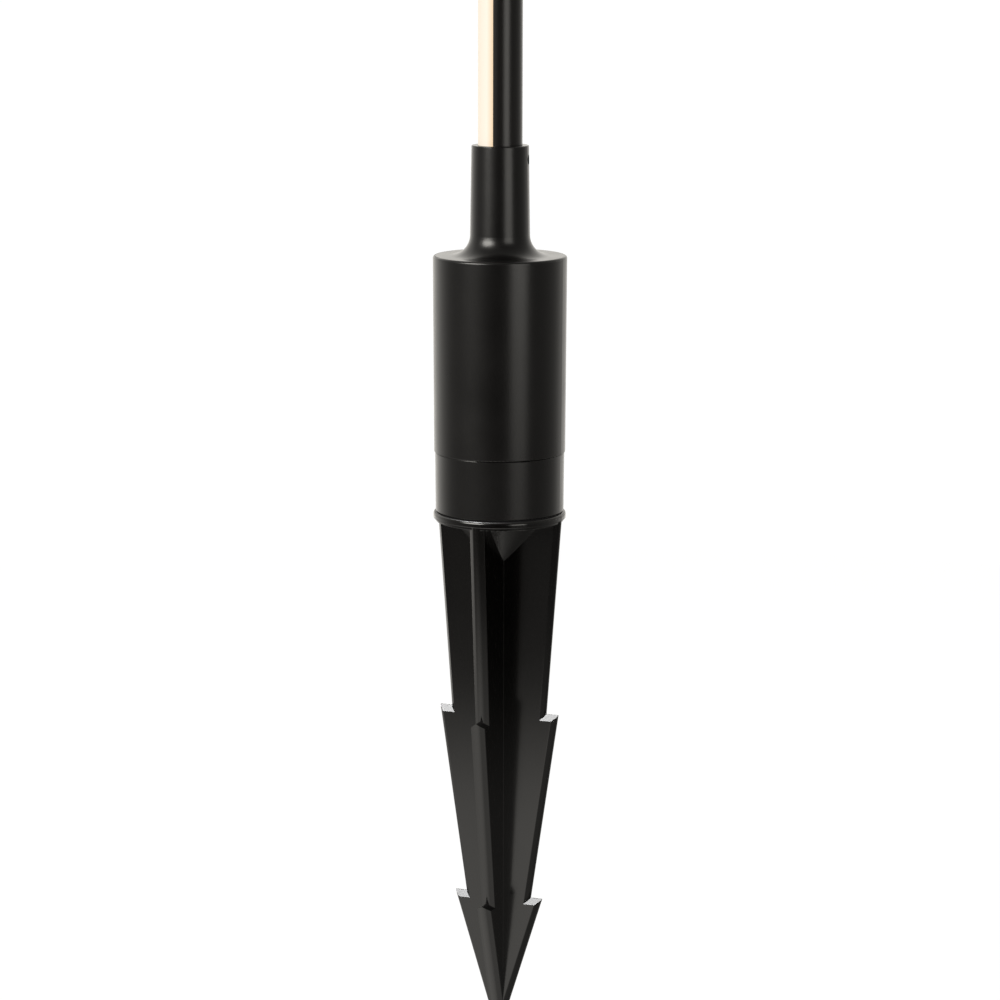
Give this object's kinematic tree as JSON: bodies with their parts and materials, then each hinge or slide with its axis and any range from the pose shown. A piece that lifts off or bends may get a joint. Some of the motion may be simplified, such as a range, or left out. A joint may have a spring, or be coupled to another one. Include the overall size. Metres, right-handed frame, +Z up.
{
  "type": "landscape light",
  "caption": "Upright garden light: an LED rod, half opal diffuser and half metal, clamped in a flared round body that swivels on a barbed ground spike with crossed fins.",
  "frame": {"origin": "on the upright axis at the underside of the spike's flange, which lies at ground level", "axes": "+Z up along the rod, -X out of the diffuser, +Y out of the cable gland"},
  "size_m": [0.0425, 0.0539, 0.7817],
  "materials": {
    "spike_plastic": "moulded, satin with a faint texture",
    "coated_body": "black satin powder coat",
    "anodised_rod": "black anodised, drawn along its length",
    "opal_diffuser": "opal, lit warm white from inside",
    "black_nylon": "moulded nylon",
    "rod_end_plastic": "moulded, satin",
    "brass": "turned",
    "screw_steel": "plain stainless steel",
    "set_screw_steel": "black oxide",
    "rubber": "moulded",
    "carrier_plastic": "moulded, pale",
    "circuit_board": "green solder mask",
    "strip_board": "white solder mask",
    "led_phosphor": "phosphor resin",
    "chip_resin": "moulded resin",
    "inductor_ferrite": "sintered ferrite",
    "capacitor_sleeve": "shrunk sleeve",
    "terminal_plastic": "moulded",
    "lead_sleeve": "soft insulation"
  },
  "bodies": {
    "spike": {"ground_spike": "spike_plastic", "spike_insert": "brass", "swivel_washer": "black_nylon", "swivel_seal": "rubber", "pivot_washer": "screw_steel", "pivot_screw": "screw_steel"},
    "lamp": {"base_cap": "coated_body", "base_seal": "rubber", "gland_washer": "rubber", "gland_body": "black_nylon", "gland_seal": "rubber", "housing": "coated_body", "neck_seal": "rubber", "driver_carrier": "carrier_plastic", "carrier_screws": "screw_steel", "driver_board": "circuit_board", "board_screws": "screw_steel", "inductor": "inductor_ferrite", "capacitors": "capacitor_sleeve", "driver_chip": "chip_resin", "rectifier": "chip_resin", "terminal_block": "terminal_plastic", "output_lead": "lead_sleeve"},
    "set_screw": {"set_screw": "set_screw_steel"},
    "gland_nut": {"gland_nut": "black_nylon"},
    "rod": {"rod_profile": "anodised_rod", "diffuser": "opal_diffuser", "led_board": "strip_board", "led_chips": "led_phosphor", "strip_resistors": "chip_resin", "strip_leads": "lead_sleeve", "rod_foot_plug": "rod_end_plastic", "top_cap": "rod_end_plastic", "top_gasket": "rubber", "end_screws": "set_screw_steel"}
  },
  "joints": [
    {"name": "lamp_swivel", "type": "hinge", "parent": "spike", "child": "lamp", "pos_m": [0, 0, 0.00325], "axis": [0, 0, 1], "continuous": true},
    {"name": "rod_turn", "type": "hinge", "parent": "lamp", "child": "rod", "pos_m": [0, 0, 0.0872], "axis": [0, 0, 1], "range_deg": [-170, 170]},
    {"name": "set_screw_turn", "type": "hinge", "parent": "lamp", "child": "set_screw", "pos_m": [0, 0, 0.115], "axis": [0.9816, 0.1908, 0], "range_deg": [0, 720]},
    {"name": "gland_nut_turn", "type": "hinge", "parent": "lamp", "child": "gland_nut", "pos_m": [0, 0.0317, 0.0127], "axis": [0, 1, 0], "range_deg": [0, 720]}
  ]
}
